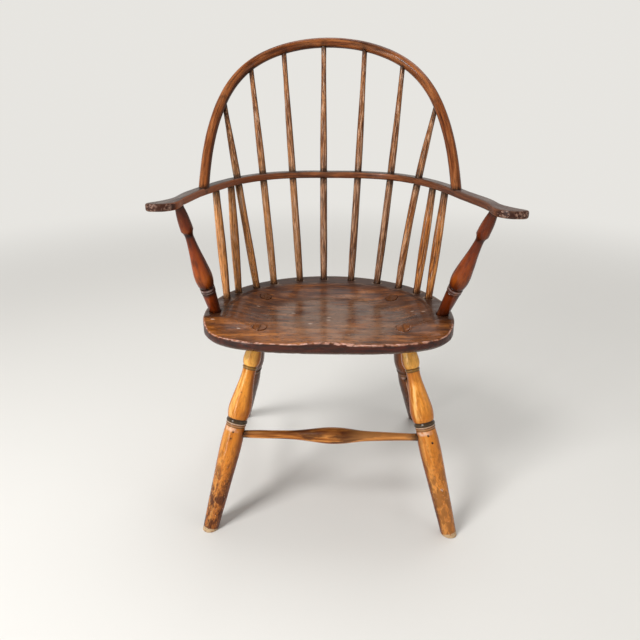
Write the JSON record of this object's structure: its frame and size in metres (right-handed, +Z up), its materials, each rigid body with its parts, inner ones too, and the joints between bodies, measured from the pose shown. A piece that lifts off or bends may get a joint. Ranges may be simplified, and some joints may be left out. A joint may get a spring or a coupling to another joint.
{
  "type": "windsor chair",
  "caption": "Bow-back armchair with a carved saddle seat, bent arm rail, shaved back spindles and splayed turned legs joined by stretchers.",
  "frame": {"origin": "on the floor under the middle of the chair's overall width and depth", "axes": "+Z up, -Y the way the chair faces, +X towards the sitter's left"},
  "size_m": [0.686, 0.5163, 0.977],
  "materials": {
    "seat_wood": "old wax polish, semi-gloss",
    "bent_wood": "old wax polish, satin",
    "spindle_wood": "old wax polish, satin",
    "post_wood": "old varnish, gloss",
    "leg_wood": "worn varnish, semi-gloss",
    "wedge_wood": "old wax polish, satin",
    "stretcher_wood": "worn varnish, satin"
  },
  "bodies": {
    "root": {"seat": "seat_wood", "arm_rail": "bent_wood", "back_bow": "bent_wood", "long_spindle_1": "spindle_wood", "long_spindle_2": "spindle_wood", "long_spindle_3": "spindle_wood", "long_spindle_4": "spindle_wood", "long_spindle_5": "spindle_wood", "long_spindle_6": "spindle_wood", "long_spindle_7": "spindle_wood", "short_spindle_1": "spindle_wood", "short_spindle_2": "spindle_wood", "short_spindle_3": "spindle_wood", "short_spindle_4": "spindle_wood", "arm_post_right": "post_wood", "arm_post_left": "post_wood", "front_leg_right": "leg_wood", "front_leg_left": "leg_wood", "rear_leg_right": "leg_wood", "rear_leg_left": "leg_wood", "front_wedge_right": "wedge_wood", "front_wedge_left": "wedge_wood", "rear_wedge_right": "wedge_wood", "rear_wedge_left": "wedge_wood", "front_stretcher": "stretcher_wood", "side_stretcher_right": "stretcher_wood", "side_stretcher_left": "stretcher_wood"}
  },
  "joints": []
}
